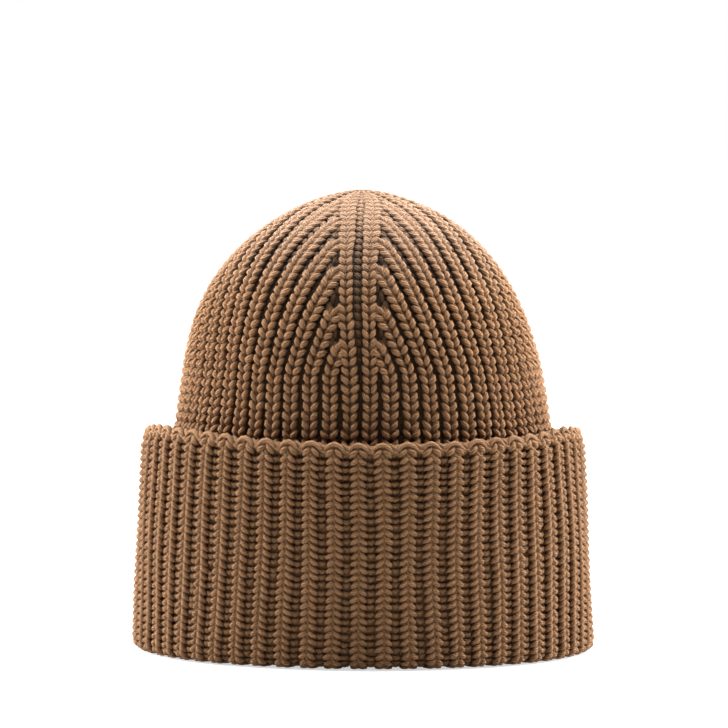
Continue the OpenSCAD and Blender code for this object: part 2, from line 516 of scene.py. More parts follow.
class Knitting:
    """Collects the strands and walls of one piece, and turns them into its mesh."""

    def __init__(self):
        self.co, self.corner, self.size, self.yarn, self.tone, self.depth = [], [], [], [], [], []
        self.count = 0

    def lay(self, stitch, wall, s, angle, hand=1, lean=0.0, wide=1.0, tall=1.0, thick=1.0, tone=0.5,
            side=1, offset=0.0, bright=1.0, even=0.0):
        """Lays one strand at each length and angle.

        hand is -1 for a mirrored strand, and side -1 for one of the inner face. offset moves it out of the
        cloth. bright and even set the strand's painted shade: bright is how much of the lit wool colour its
        top keeps, and even how much of that its lowest side keeps, below which its sides are painted darker
        towards the shade colour.
        """
        s, angle = np.broadcast_arrays(np.atleast_1d(s), np.atleast_1d(angle))
        if not len(s):
            return

        def each(value):
            """A column with one value for each strand."""
            return np.broadcast_to(np.asarray(value, float), s.shape)[:, None]

        x = stitch.co[None, :, 0] * hand * each(wide)
        y = stitch.co[None, :, 1] * each(tall)
        h = stitch.co[None, :, 2] * each(thick)
        c, d = np.cos(each(lean)), np.sin(each(lean))
        across, along = x * c + y * d, y * c - x * d
        angle = np.broadcast_to(angle[:, None], along.shape)
        place = wall.place(s[:, None] + along, angle, across, offset + side * h)
        n, v = along.shape
        way = int(hand * side * wall.outward)
        corner = stitch.corners[way][None, :] + (np.arange(n) * v)[:, None] + self.count
        self.co.append(place.reshape(-1, 3))
        self.corner.append(corner.reshape(-1))
        self.size.append(np.tile(stitch.size, n))
        self.yarn.append(np.tile(stitch.yarn[way], (n, 1)))
        self.tone.append(np.repeat(each(tone)[:, 0], v))
        # Painted shade: each strand's sides are darkened towards the shade colour, the lower the darker
        self.depth.append(np.tile((even + (1 - even) * stitch.rise) * bright, n))
        self.count += n * v

    def add(self, bm, tone=0.5, depth=0.0):
        """Adds a shape made with bmesh, and frees it. depth is its painted shade all over: at 0, the
        default, it takes the shade colour.
        """
        bm.verts.index_update()
        faces = [[v.index for v in f.verts] for f in bm.faces]
        self.co.append(np.array([v.co for v in bm.verts]))
        self.corner.append(np.concatenate(faces) + self.count)
        self.size.append(np.array([len(f) for f in faces]))
        self.yarn.append(np.zeros((sum(map(len, faces)), 2)))
        self.tone.append(np.full(len(bm.verts), tone))
        self.depth.append(np.full(len(bm.verts), depth))
        self.count += len(bm.verts)
        bm.free()

    def finish(self, name, coat, free_edge=False):
        """Makes the object, at the origin, with its place in its mesh."""
        co, corner, size = map(np.concatenate, (self.co, self.corner, self.size))
        if free_edge:
            co = slacken(co)
        mesh = bpy.data.meshes.new(name)
        mesh.vertices.add(len(co))
        mesh.vertices.foreach_set("co", relax(co).astype(np.float32).ravel())
        mesh.loops.add(len(corner))
        mesh.loops.foreach_set("vertex_index", corner.astype(np.int32))
        mesh.polygons.add(len(size))
        mesh.polygons.foreach_set("loop_start", (np.cumsum(size) - size).astype(np.int32))
        mesh.polygons.foreach_set("use_smooth", np.ones(len(size), bool))
        mesh.update(calc_edges=True)
        yarn = mesh.uv_layers.new(name="yarn")
        yarn.data.foreach_set("uv", np.concatenate(self.yarn).astype(np.float32).ravel())
        for key, values in (("tone", self.tone), ("depth", self.depth)):
            layer = mesh.attributes.new(key, "FLOAT", "POINT")
            layer.data.foreach_set("value", np.concatenate(values).astype(np.float32))
        if mesh.validate():
            raise RuntimeError(f"{name} had faces that don't make a mesh")
        mesh.materials.append(finish_named(coat))
        return put(name, mesh)


def put(name, data):
    """Puts a new object into the scene, at the origin."""
    obj = bpy.data.objects.new(name, data)
    bpy.context.scene.collection.objects.link(obj)
    return obj


def put_shape(name, bm, coat, rounded=True):
    """Turns a bmesh into an object with its material, and frees it."""
    mesh = bpy.data.meshes.new(name)
    bm.to_mesh(mesh)
    bm.free()
    mesh.materials.append(coat)
    for face in mesh.polygons:
        face.use_smooth = rounded
    return put(name, mesh)


def lining(wall, ends, angles, rows, columns):
    """The plain cloth between the two faces' stitches: a closed shell, below the wall's outer face."""
    bm = bmesh.new()
    bmesh.ops.create_grid(bm, x_segments=columns, y_segments=rows, size=1)
    xy = np.array([v.co for v in bm.verts])
    s = ends[0] + (xy[:, 1] + 1) / 2 * (ends[1] - ends[0])
    angle = angles[0] + (xy[:, 0] + 1) / 2 * (angles[1] - angles[0])
    for v, co in zip(bm.verts, wall.place(s, angle, np.zeros_like(s), np.full_like(s, -LINING_DEEP))):
        v.co = co
    bmesh.ops.remove_doubles(bm, verts=bm.verts, dist=1e-6)
    if wall.outward < 0:
        bmesh.ops.reverse_faces(bm, faces=bm.faces)
    bmesh.ops.solidify(bm, geom=bm.faces, thickness=LINING_THICK)
    return bm


# ---------------------------------------------------------------- where the ribs run


def read(table, value):
    """Reads a value off a table of pairs, evenly between its rows."""
    return float(np.interp(value, *zip(*table)))


def part_way(ends, share):
    """The value that lies a share of the way between two."""
    return ends[0] + (ends[1] - ends[0]) * share


def narrowed(row):
    """How many ribs have gone beside each line, by a row."""
    return read(NARROWING, row)


def row_when(gone):
    """The row by which so many ribs have gone beside each line."""
    return read([(count, row) for row, count in NARROWING], gone)


def rib_step(gone, knit):
    """The angle that one rib takes up, once so many have gone beside each line."""
    return QUARTER / (knit.wales / 4 - 2 * gone)


def ribs_at(row, knit):
    """Angles of the crown's ribs at a row."""
    gone = narrowed(row)
    step = rib_step(gone, knit)
    half = int(knit.wales / 4 // 2)
    angles = []
    for line in (FRONT, BACK):
        for hand in (-1, 1):
            angles.append(line + hand * step / 2)
            left = [k for k in range(2, half + 1) if gone < k - 1 - LAST_BESIDE_RIB]
            angles += [line + hand * step * (k - 0.5 - gone) for k in left]
    for line in (0, 2 * QUARTER):
        angles.append(line)
        for hand in (-1, 1):
            left = [k for k in range(1, half + 1) if gone < k - LAST_ON_RIB]
            angles += [line + hand * step * (k - gone) for k in left]
    return angles


def section_of(angle):
    """The crown section in which an angle lies."""
    return int(math.floor((angle + 4 * QUARTER) / QUARTER)) % 4


def crown_stitches(row, knit, wall):
    """A crown row's stitches in order round the hat: angle, length along the wall, lean and width."""
    s = row * knit.crown_row
    radius = float(wall.radius(s))
    step, before, after = (rib_step(narrowed(r), knit) for r in (row, row - 0.5, row + 0.5))
    closing = narrowed(row + 0.5) - narrowed(row - 0.5)
    found = []
    for angle in ribs_at(row, knit):
        near = round(angle / QUARTER) * QUARTER
        off = angle - near
        beside_line = abs(abs(off) - step / 2) < 1e-9 and near in (FRONT, BACK)
        stays = abs(off) < 1e-9 or beside_line
        drift = 0.0 if stays else -math.copysign(closing, off)
        turn = (off / step + drift / 2) * after - (off / step - drift / 2) * before
        slim = read(LINE_RIB_WIDTH, narrowed(row)) if stays and near in (FRONT, BACK) else 1
        found.append((angle, s, math.atan2(turn * radius, knit.crown_row), step * radius * slim))
    return sorted(found)


# ---------------------------------------------------------------- materials


def node(tree, kind, **values):
    """A new node, with its properties and sockets set."""
    made = tree.nodes.new(kind)
    for name, value in values.items():
        if hasattr(made, name):
            setattr(made, name, value)
        else:
            made.inputs[name.replace("_", " ")].default_value = value
    return made


def feed(tree, sockets, values):
    """Links or sets each socket."""
    for socket, value in zip(sockets, values):
        if isinstance(value, bpy.types.NodeSocket):
            tree.links.new(value, socket)
        else:
            socket.default_value = value


def math_node(tree, operation, a, b=0.0):
    made = node(tree, "ShaderNodeMath", operation=operation)
    feed(tree, made.inputs, (a, b))
    return made.outputs[0]


def mix_colour(tree, factor, a, b):
    made = node(tree, "ShaderNodeMix", data_type="RGBA")
    feed(tree, (made.inputs[0], made.inputs[6], made.inputs[7]), (factor, a, b))
    return made.outputs[2]


def eased(tree, value, start, end, low=0.0, high=1.0):
    """A value's climb from start to end as one from low to high, eased at both ends."""
    made = node(tree, "ShaderNodeMapRange", interpolation_type="SMOOTHSTEP")
    feed(tree, made.inputs, (value, start, end, low, high))
    return made.outputs[0]


def noise(tree, place, scale, detail, **values):
    made = node(tree, "ShaderNodeTexNoise", Scale=scale, Detail=detail, **values)
    tree.links.new(place, made.inputs["Vector"])
    return made.outputs["Fac"]


def new_material(name, **values):
    """A new material, with its shader's even values set."""
    made = bpy.data.materials.new(name)
    made.use_nodes = True
    shader = made.node_tree.nodes["Principled BSDF"]
    for socket, value in values.items():
        shader.inputs[socket.replace("_", " ")].default_value = value
    return made, made.node_tree, shader


def rgba(colour, share=1.0, more=0.0):
    return (*[min(1.0, c * share + more) for c in colour], 1.0)


def wool_material(name, colour, shade):
    """Plied wool: twisted strands with painted shade in their seams, loose fibres and uneven stitches,
    painted shade on the low parts of the strands and between the ribs, and a painted highlight that
    lightens the hat's top.
    """
    made, tree, shader = new_material(
        name, Roughness=0.8, Specular_IOR_Level=0.2, Sheen_Weight=0.08, Sheen_Roughness=0.3,
        Sheen_Tint=(1.0, 0.84, 0.70, 1.0),
    )
    tone = node(tree, "ShaderNodeAttribute", attribute_name="tone").outputs["Fac"]
    # The depth attribute is painted shade: at 1 the wool keeps its lit colour, and lower it mixes towards
    # the shade colour
    depth = node(tree, "ShaderNodeAttribute", attribute_name="depth").outputs["Fac"]
    along = node(tree, "ShaderNodeSeparateXYZ")
    tree.links.new(node(tree, "ShaderNodeUVMap", uv_map="yarn").outputs[0], along.inputs[0])
    place = node(tree, "ShaderNodeTexCoord").outputs["Object"]
    height = node(tree, "ShaderNodeSeparateXYZ")
    tree.links.new(place, height.inputs[0])

    plies_round, ply_depth = 7.0, 1.2
    twist = math_node(tree, "ADD", along.outputs[0], along.outputs[1])
    twist = math_node(tree, "MULTIPLY", twist, plies_round)
    plies = math_node(tree, "SINE", math_node(tree, "MULTIPLY", twist, TURN))
    plies = math_node(tree, "MULTIPLY", math_node(tree, "ADD", plies, 1.0), 0.5)
    seams = math_node(tree, "POWER", plies, 2.0)
    fibre = noise(tree, place, 1400.0, 3.0, Roughness=0.6)
    patch = noise(tree, place, 60.0, 2.0, Roughness=0.5)

    # The stitch attribute read here holds each stitch's random lightness, set lower on strands that lie
    # deep or under others: painted shade
    light = mix_colour(tree, tone, rgba(colour, 0.78), rgba(colour, 1.18))
    # The seams between the plies are painted darker, painted shade in the yarn's twist; the fine fibres and
    # the broad patches are the wool's own mottling
    for cause, strength, share in ((seams, 0.75, 0.5), (fibre, 0.45, 1.3), (patch, 0.25, 0.8)):
        light = mix_colour(tree, math_node(tree, "MULTIPLY", cause, strength), light, rgba(colour, share))
    # Painted highlight: the wool and its painted shade grow paler towards the hat's top, where the light
    # from above falls
    painted_top_light = eased(tree, height.outputs["Z"], *PAINTED_TOP_LIGHT_FROM, high=0.62)
    light = mix_colour(tree, painted_top_light, light, rgba(colour, more=0.17))
    dark = mix_colour(tree, painted_top_light, rgba(shade), rgba(shade, more=0.16))
    # Painted shade: the low parts of the strands and the cloth between the ribs take the shade colour by
    # the depth attribute
    both = mix_colour(tree, eased(tree, depth, 0.30, 0.93), dark, light)
    tree.links.new(both, shader.inputs["Base Color"])

    relief = math_node(tree, "ADD", math_node(tree, "MULTIPLY", seams, -ply_depth), fibre)
    bump = node(tree, "ShaderNodeBump", Strength=0.7, Distance=0.6 * MM)
    tree.links.new(relief, bump.inputs["Height"])
    tree.links.new(bump.outputs[0], shader.inputs["Normal"])
    return made


def finish_named(name):
    """The finish of that name. Yarn, tape and thread have the frame's own, and the wool's are made here."""
    if name in bpy.data.materials:
        return bpy.data.materials[name]
    colours = bpy.context.scene.beanie_colours
    # The cuff's wool is a darker copy of the crown's, painted shade for its less lit front, and its shade
    # colour is lighter, less painted shade between its ribs
    if name == "camel_wool_cuff":
        return wool_material(name, [0.92 * c for c in colours.wool], [2.6 * c for c in colours.shade])
    return wool_material(name, colours.wool, colours.shade)


def dress(obj, body, slot_name, *nodes):
    """Ties a rigid piece to its body and hides the CAD nodes that it stands for; slot_name is not used."""
    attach(obj, body)
    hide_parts(*nodes)


def dress_stretching(obj, slot_name, *nodes):
    """Bakes a piece of the band's placement into its mesh, and hides the CAD nodes that it stands for."""
    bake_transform(obj)
    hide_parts(*nodes)


# ---------------------------------------------------------------- operators


class CrownKnitter:
    """Lays the crown's stitches into its four sections."""

    def __init__(self, knit):
        rib, row = knit.crown_rib, knit.crown_row
        self.knit, self.wall, self.rng = knit, hat_wall(knit), np.random.default_rng(11)
        self.pieces = {section: Knitting() for section in CROWN_SECTIONS}
        self.full_pitch = TURN / knit.wales * CROWN_R
        self.leg = legs(CROWN_LEG, rib, row, 2.6 * MM, rings=7)
        self.inner_leg = inner_legs(knit, row)
        self.bump = bar(1.7, 0.3, 0.6, 1.7, 1.6, sides=6, rings=4)
        self.pad, self.shoulder = rib_pad(rib, row), side_pad(rib, row)
        way = [(x * rib, y * row, -h * MM) for x, y, h in ARCH]
        self.arch = strand(8, 9, way, 2.4 * MM, 2.4 * MM, blunt=0.4)

    def thickness(self, row, width):
        """How thick a stitch is, as a share: less on a narrow rib and where the stitches crowd together."""
        return min(1, 0.45 + 0.55 * width / self.full_pitch) * (1 - 0.37 * read(CROWDING, row))

    def lay_rib(self, row, angle, s, lean, width):
        """One stitch of a rib: its two legs, and the yarn under them that fills the rib."""
        knit, wall, rng = self.knit, self.wall, self.rng
        high, peak = read(CROWDING, row), read(PEAK, row)
        wide = min(WIDEST, width / self.full_pitch) * (1 - 0.1 * high + 0.12 * peak)
        wide *= float(shares(rng, knit, 1)[0])
        thick = self.thickness(row, width)
        tone = 0.5 + 0.05 * math.sin(7 * angle) + rng.normal(0, 0.10)
        # The pad and the shoulders under the legs are painted darker towards the shade colour, painted
        # shade between the rows, less of it where the stitches crowd at the top
        self.pieces[section_of(angle + 1e-4)].lay(
            self.pad, wall, s + 1.2 * MM, angle, lean=lean, wide=wide * (0.8 + 0.15 * high), tone=tone,
            offset=knit.crown_proud - part_way(PAD_DEEP, high) * MM, bright=part_way(PAD_PAINTED_SHADE, high),
        )
        for hand in (1, -1):
            tall, own = shares(rng, knit, 2)
            piece = self.pieces[section_of(angle + hand * 1.7 * MM * wide / float(wall.radius(s)))]
            piece.lay(
                self.leg, wall, s + rng.normal(0, 0.12 * MM), angle, hand, lean=lean + rng.normal(0, 0.05),
                wide=wide * own, tall=(1.0 + 0.25 * high) * tall, thick=thick,
                tone=tone + rng.normal(0, 0.12), offset=knit.crown_proud - part_way(LEG_DEEP, high) * MM,
            )
            piece.lay(
                self.shoulder, wall, s + 0.5 * knit.crown_row, angle, hand, lean=lean, wide=wide,
                thick=thick, tone=tone, offset=knit.crown_proud - part_way(SHOULDER_DEEP, high) * MM,
                bright=part_way(SHOULDER_PAINTED_SHADE, high), even=0.4,
            )

    def lay_groove(self, row, angle, next_angle, s, lean, width):
        """What lies between two ribs: a low bump outside, and a rib of the inner face behind it."""
        high, peak = read(CROWDING, row), read(PEAK, row)
        thick = self.thickness(row, width)
        middle = (angle + next_angle) / 2
        gap = (next_angle - angle) * float(self.wall.radius(s)) / self.full_pitch
        piece = self.pieces[section_of(middle)]
        on_line = abs(math.remainder(middle - FRONT, 2 * QUARTER)) < 1e-3
        full = max(high, read(LINE_FILL, row)) if on_line else high
        # The bump is painted dark, painted shade in the groove, lighter where the groove fills and towards
        # the peak
        piece.lay(
            self.bump, self.wall, s + 1.4 * MM, middle, wide=gap, tall=1 + 1.6 * full, thick=thick,
            tone=0.3 + self.rng.normal(0, 0.1), offset=-(2.3 - full - peak) * MM,
            bright=0.3 + 0.35 * full + 0.35 * peak, even=0.5 * full,
        )
        for hand in (1, -1):
            piece.lay(self.inner_leg, self.wall, s + 1.7 * MM, middle, hand, lean=lean / 2, wide=gap,
                      thick=thick, tone=0.45 + self.rng.normal(0, 0.1), side=-1, offset=-self.knit.cloth)

    def close_ribs(self, gone):
        """Lays the arches where ribs end beside the four lines, and fills the place above them."""
        knit, wall = self.knit, self.wall
        for line in (FRONT, BACK, 0, 2 * QUARTER):
            beside = line in (FRONT, BACK)
            last = 1 - (LAST_BESIDE_RIB if beside else LAST_ON_RIB)
            off = ARCH_BESIDE_RIB if beside else ARCH_ON_RIB
            s = (math.floor(row_when(gone + last)) + ARCH_UP) * knit.crown_row
            step = rib_step(gone + last, knit)
            wide = step * float(wall.radius(s)) / self.full_pitch
            for hand in (-1, 1):
                angle = line + hand * step * off
                piece = self.pieces[section_of(angle)]
                piece.lay(self.arch, wall, s, angle, hand, wide=wide, thick=min(1, 0.5 + wide / 2),
                          tone=0.55 + self.rng.normal(0, 0.06), offset=knit.crown_proud - 0.3 * MM)
                # The pads under and above the arch are painted darker: painted shade in the hollow where
                # the rib ends
                piece.lay(self.pad, wall, s - 1.0 * MM, angle, hand, wide=wide * 1.1,
                          offset=knit.crown_proud - 1.1 * MM, bright=0.8, even=0.4)
                for up, away, girth in CLOSED_FILL:
                    angle = line + hand * step * (off + away)
                    self.pieces[section_of(angle)].lay(
                        self.pad, wall, s + up * knit.crown_row, angle, hand, wide=wide * girth,
                        offset=knit.crown_proud - 1.7 * MM, bright=0.55, even=0.4,
                    )


class BEANIE_OT_crown(bpy.types.Operator):
    """Knit the four sections of the crown, between its narrowing lines"""

    bl_idname = "beanie.crown"
    bl_label = "Crown"

    def execute(self, context):
        knit = context.scene.beanie_knit
        crown = CrownKnitter(knit)
        for row in range(CROWN_ROWS):
            stitches = crown_stitches(row, knit, crown.wall)
            following = [stitch[0] for stitch in stitches[1:]] + [stitches[0][0] + TURN]
            for (angle, s, lean, width), next_angle in zip(stitches, following):
                crown.lay_rib(row, angle, s, lean, width)
                crown.lay_groove(row, angle, next_angle, s, lean, width)
        for gone in range(RIBS_CLOSED):
            crown.close_ribs(gone)
        for section, nodes in CROWN_SECTIONS.items():
            piece, start = crown.pieces[section], section * QUARTER
            # The lining takes the shade colour all over: painted shade between the ribs
            piece.add(lining(crown.wall, (0, crown.wall.end - 3.2 * MM), (start, start + QUARTER), 40, 24))
            dress(piece.finish(f"{nodes}_knit", "camel_wool_rib"), "hat", "wool_rib", nodes)
        return {"FINISHED"}


class BEANIE_OT_gather(bpy.types.Operator):
    """Draw the last stitches together at the top and tie the closing knot inside"""

    bl_idname = "beanie.gather"
    bl_label = "Gather and knot"

    def execute(self, context):
        knit = context.scene.beanie_knit
        rng = np.random.default_rng(12)
        wall = hat_wall(knit)
        gather = Knitting()
        petal = strand_mm(((0, -2.3, -0.6), (0, 0, 0), (0, 2.3, -0.9)), 2.3, 2.4, blunt=0.7)
        last = 10
        angles = np.arange(last) * TURN / last + FRONT + math.pi / last
        gather.lay(petal, wall, wall.end - 2.3 * MM, angles, lean=rng.normal(0.15, 0.1, last),
                   wide=shares(rng, knit, last) * 0.8, tone=0.5 + rng.normal(0, 0.1, last))
        # The rings under the petals are painted darker: painted shade under the gathered stitches
        gather.add(self.ring(GATHER_R * 0.42, 0.85 * MM, HAT_TOP - 2.1 * MM, 1), 0.35, 0.5)
        gather.add(self.ring(GATHER_R * 0.72, 1.0 * MM, HAT_TOP - knit.cloth + 1.2 * MM, 1), 0.35, 0.4)
        dress(gather.finish("crown_gather_yarn", "camel_wool_rib"), "hat", "wool_rib", "crown_gather")
        knot = Knitting()
        # The knot's rings are painted a little darker: painted shade inside the top
        knot.add(self.ring(1.7 * MM, 0.95 * MM, KNOT_TOP - 1.0 * MM, 0.5), 0.5, 0.8)
        knot.add(self.ring(1.3 * MM, 0.9 * MM, KNOT_TOP - 2.1 * MM, -0.6), 0.5, 0.8)
        dress(knot.finish("closing_knot_yarn", "linking_yarn"), "hat", "linking_yarn", "closing_knot")
        return {"FINISHED"}

    def ring(self, radius, girth, z, tilt):
        """A closed loop of yarn round the middle, made by spinning a small circle."""
        bm = bmesh.new()
        circle = bmesh.ops.create_circle(bm, segments=8, radius=girth, cap_ends=False)["verts"]
        for v in circle:
            v.co = (radius + v.co.x, 0, v.co.y)
        bmesh.ops.spin(
            bm, geom=bm.edges[:], cent=(0, 0, 0), axis=(0, 0, 1), angle=TURN, steps=20, use_merge=True
        )
        bmesh.ops.remove_doubles(bm, verts=bm.verts, dist=1e-6)
        for v in bm.verts:
            v.co.z += z + tilt * 0.3 * v.co.x
        bmesh.ops.recalc_face_normals(bm, faces=bm.faces)
        return bm


class BEANIE_OT_band(bpy.types.Operator):
    """Knit the band behind the cuff, inside and out"""

    bl_idname = "beanie.band"
    bl_label = "Band"

    def execute(self, context):
        knit = context.scene.beanie_knit
        wall = hat_wall(knit)
        rng = np.random.default_rng(13)
        pitch = TURN / knit.wales
        outer = Knitting()
        leg = legs(CROWN_LEG, knit.crown_rib, knit.crown_row, 2.6 * MM, sides=6, rings=7)
        ribs = FRONT + (np.arange(knit.wales) + 0.5) * pitch
        for row in range(1, BAND_ROWS + 1):
            self.lay_row(outer, leg, wall, -row * knit.crown_row, ribs, knit, rng, 1, knit.crown_proud)
        # The lining takes the shade colour all over: painted shade between the ribs
        outer.add(lining(wall, (wall.start, 0), (0, TURN), 24, COLUMNS_ROUND))
        dress_stretching(outer.finish("band_outer_knit", "camel_wool_rib"), "wool_rib", "inner_band")

        inner = Knitting()
        leg = inner_legs(knit, knit.crown_row)
        bump = bar(1.7, 0.3, 0.5, 1.9, 1.5, sides=6, rings=4)
        ribs = FRONT + np.arange(knit.wales) * pitch
        for row in range(1, int(-wall.start / knit.crown_row) + 1):
            s = -row * knit.crown_row
            self.lay_row(inner, leg, wall, s, ribs, knit, rng, -1, -knit.cloth)
            # The bumps between the inner face's ribs are painted dark: painted shade in its grooves
            inner.lay(bump, wall, s, ribs + pitch / 2, tone=0.35 + rng.normal(0, 0.08, knit.wales),
                      side=-1, offset=-knit.cloth + 1.8 * MM, bright=0.4)
        dress_stretching(inner.finish("band_inner_knit", "camel_wool_rib"), "wool_rib", "inner_band")
        return {"FINISHED"}

    def lay_row(self, piece, leg, wall, s, ribs, knit, rng, side, offset):
        count = len(ribs)
        for hand in (1, -1):
            piece.lay(
                leg, wall, s + rng.normal(0, 0.1 * MM, count), ribs, hand, lean=rng.normal(0, 0.05, count),
                wide=shares(rng, knit, count), tall=1.02 * shares(rng, knit, count),
                tone=0.5 + rng.normal(0, 0.13, count), side=side, offset=offset,
            )


class CuffKnitter:
    """Lays rows on the cuff's outer face: two legs to a rib, and the strand that crosses the groove."""

    def __init__(self, knit, seed):
        self.knit, self.wall, self.rng = knit, cuff_wall(knit), np.random.default_rng(seed)
        self.leg = legs(CUFF_LEG, knit.cuff_rib, knit.cuff_row, 2.25 * MM)
        self.pad = rib_pad(knit.cuff_rib, knit.cuff_row)
        edge = knit.cuff_rib / 2 / MM
        self.link = strand_mm(
            ((edge - 0.5, -0.6, -0.8), (edge + 0.5, 0.2, -0.2), (edge + 1.6, 0.8, 0),
             (edge + 2.6, 0.2, -0.2), (edge + 3.6, -0.6, -0.8)), 2.2, 2.0, sides=6,
        )

    def rows(self):
        """Lengths along the wall of the rows, from under the edge round to the inside of the fold."""
        first = self.wall.length_at(EDGE_FOOT) + 1.2 * MM
        count = int((self.wall.end - first) / self.knit.cuff_row) + 1
        return first + np.arange(count) * (self.wall.end - 0.5 * MM - first) / (count - 1)

    def lay_row(self, piece, leg, s, ribs):
        knit, wall, rng, count = self.knit, self.wall, self.rng, len(ribs)
        sway = 0.20 * MM * np.sin(ribs * 5 + s * 90) + 0.14 * MM * np.sin(ribs * 23 + s * 61)
        place = ribs + sway / HEM_R
        tone = 0.5 + 0.10 * np.sin(ribs * 17.3 + 1.0) + rng.normal(0, 0.06, count)
        proud = knit.cuff_proud
        for hand in (1, -1):
            piece.lay(leg, wall, s + rng.normal(0, 0.08 * MM, count), place, hand,
                      lean=rng.normal(0, 0.04, count), wide=shares(rng, knit, count),
                      tall=shares(rng, knit, count), tone=tone + rng.normal(0, 0.10, count),
                      offset=proud, even=0.12)
        # The pad and the link that crosses the groove are painted darker: painted shade between the rows
        # and in the groove
        piece.lay(self.pad, wall, s + 0.7 * knit.cuff_row, place, wide=1.2, tone=tone,
                  offset=proud - CUFF_PAD_DEEP, bright=0.63, even=0.7)
        piece.lay(self.link, wall, s + rng.normal(0.2 * MM, 0.12 * MM, count), place,
                  lean=rng.normal(0, 0.06, count), tall=shares(rng, knit, count),
                  tone=0.40 + rng.normal(0, 0.1, count), offset=proud - LINK_DEEP, bright=0.74, even=0.3)


class BEANIE_OT_cuff(bpy.types.Operator):
    """Knit the turned-up cuff in four lengths"""

    bl_idname = "beanie.cuff"
    bl_label = "Cuff"

    def execute(self, context):
        knit = context.scene.beanie_knit
        cuff = CuffKnitter(knit, 14)
        wall, rng = cuff.wall, cuff.rng
        edge_leg = legs(CUFF_LEG, 1.08 * knit.cuff_rib, 1.4 * knit.cuff_row, 2.5 * MM)
        inner_leg = inner_legs(knit, knit.cuff_row)
        pitch = TURN / knit.wales
        ribs = FRONT + np.arange(-knit.wales, knit.wales) * pitch
        rows = [s for s in cuff.rows() if wall.height(s) > FOLD_TOP]
        for name, quarter in CUFF_LENGTHS.items():
            start = (quarter - 0.5) * QUARTER
            outside, inside = (self.within(angles, start) for angles in (ribs, ribs + pitch / 2))
            piece = Knitting()
            for i, s in enumerate(rows):
                if i == 0:
                    cuff.lay_row(piece, edge_leg, s - 0.7 * MM, outside)
                else:
                    cuff.lay_row(piece, cuff.leg, s, outside)
                if i < CUFF_INNER_ROWS:
                    self.lay_inside(piece, inner_leg, wall, s, inside, knit, rng)
            ends = wall.length_at(EDGE_FOOT), wall.length_at(FOLD_TOP)
            piece.add(lining(wall, ends, (start, start + QUARTER), 24, 32), depth=CUFF_FLOOR_PAINTED_SHADE)
            obj = piece.finish(f"cuff_{name}_knit", "camel_wool_cuff", free_edge=True)
            dress(obj, "cuff", "wool_cuff", "outer_cuff")
        return {"FINISHED"}

    def within(self, angles, start):
        """Those of the angles that lie in the quarter from start."""
        return angles[(angles >= start) & (angles < start + QUARTER)]

    def lay_inside(self, piece, leg, wall, s, ribs, knit, rng):
        """One row of the cuff's inner face."""
        count = len(ribs)
        for hand in (1, -1):
            piece.lay(leg, wall, s, ribs, hand, wide=shares(rng, knit, count),
                      tone=0.45 + rng.normal(0, 0.1, count), side=-1, offset=-knit.cloth)


class BEANIE_OT_fold(bpy.types.Operator):
    """Knit the rows that turn under at the fold"""

    bl_idname = "beanie.fold"
    bl_label = "Fold"

    def execute(self, context):
        knit = context.scene.beanie_knit
        cuff = CuffKnitter(knit, 15)
        wall = cuff.wall
        ribs = FRONT + np.arange(knit.wales) * TURN / knit.wales
        piece = Knitting()
        for s in cuff.rows():
            if wall.height(s) <= FOLD_TOP:
                cuff.lay_row(piece, cuff.leg, s, ribs)
        ends = wall.length_at(FOLD_TOP), wall.end
        piece.add(lining(wall, ends, (0, TURN), 14, COLUMNS_ROUND), depth=CUFF_FLOOR_PAINTED_SHADE)
        dress(piece.finish("fold_knit", "camel_wool_cuff"), "cuff", "wool_cuff", "fold_rim")
        return {"FINISHED"}


def yarn_tube(points, radius):
    """A closed tube of yarn along points, as a bmesh: a curve with a round bevel, made a mesh."""
    curve = bpy.data.curves.new("yarn", "CURVE")
    curve.dimensions = "3D"
    curve.bevel_depth = radius
    curve.bevel_resolution = 2
    line = curve.splines.new("POLY")
    line.points.add(len(points) - 1)
    for point, co in zip(line.points, points):
        point.co = (*co, 1)
    line.use_cyclic_u = True
    holder = bpy.data.objects.new("yarn", curve)
    mesh = bpy.data.meshes.new_from_object(holder)
    bm = bmesh.new()
    bm.from_mesh(mesh)
    bpy.data.objects.remove(holder)
    bpy.data.curves.remove(curve)
    bpy.data.meshes.remove(mesh)
    return bm


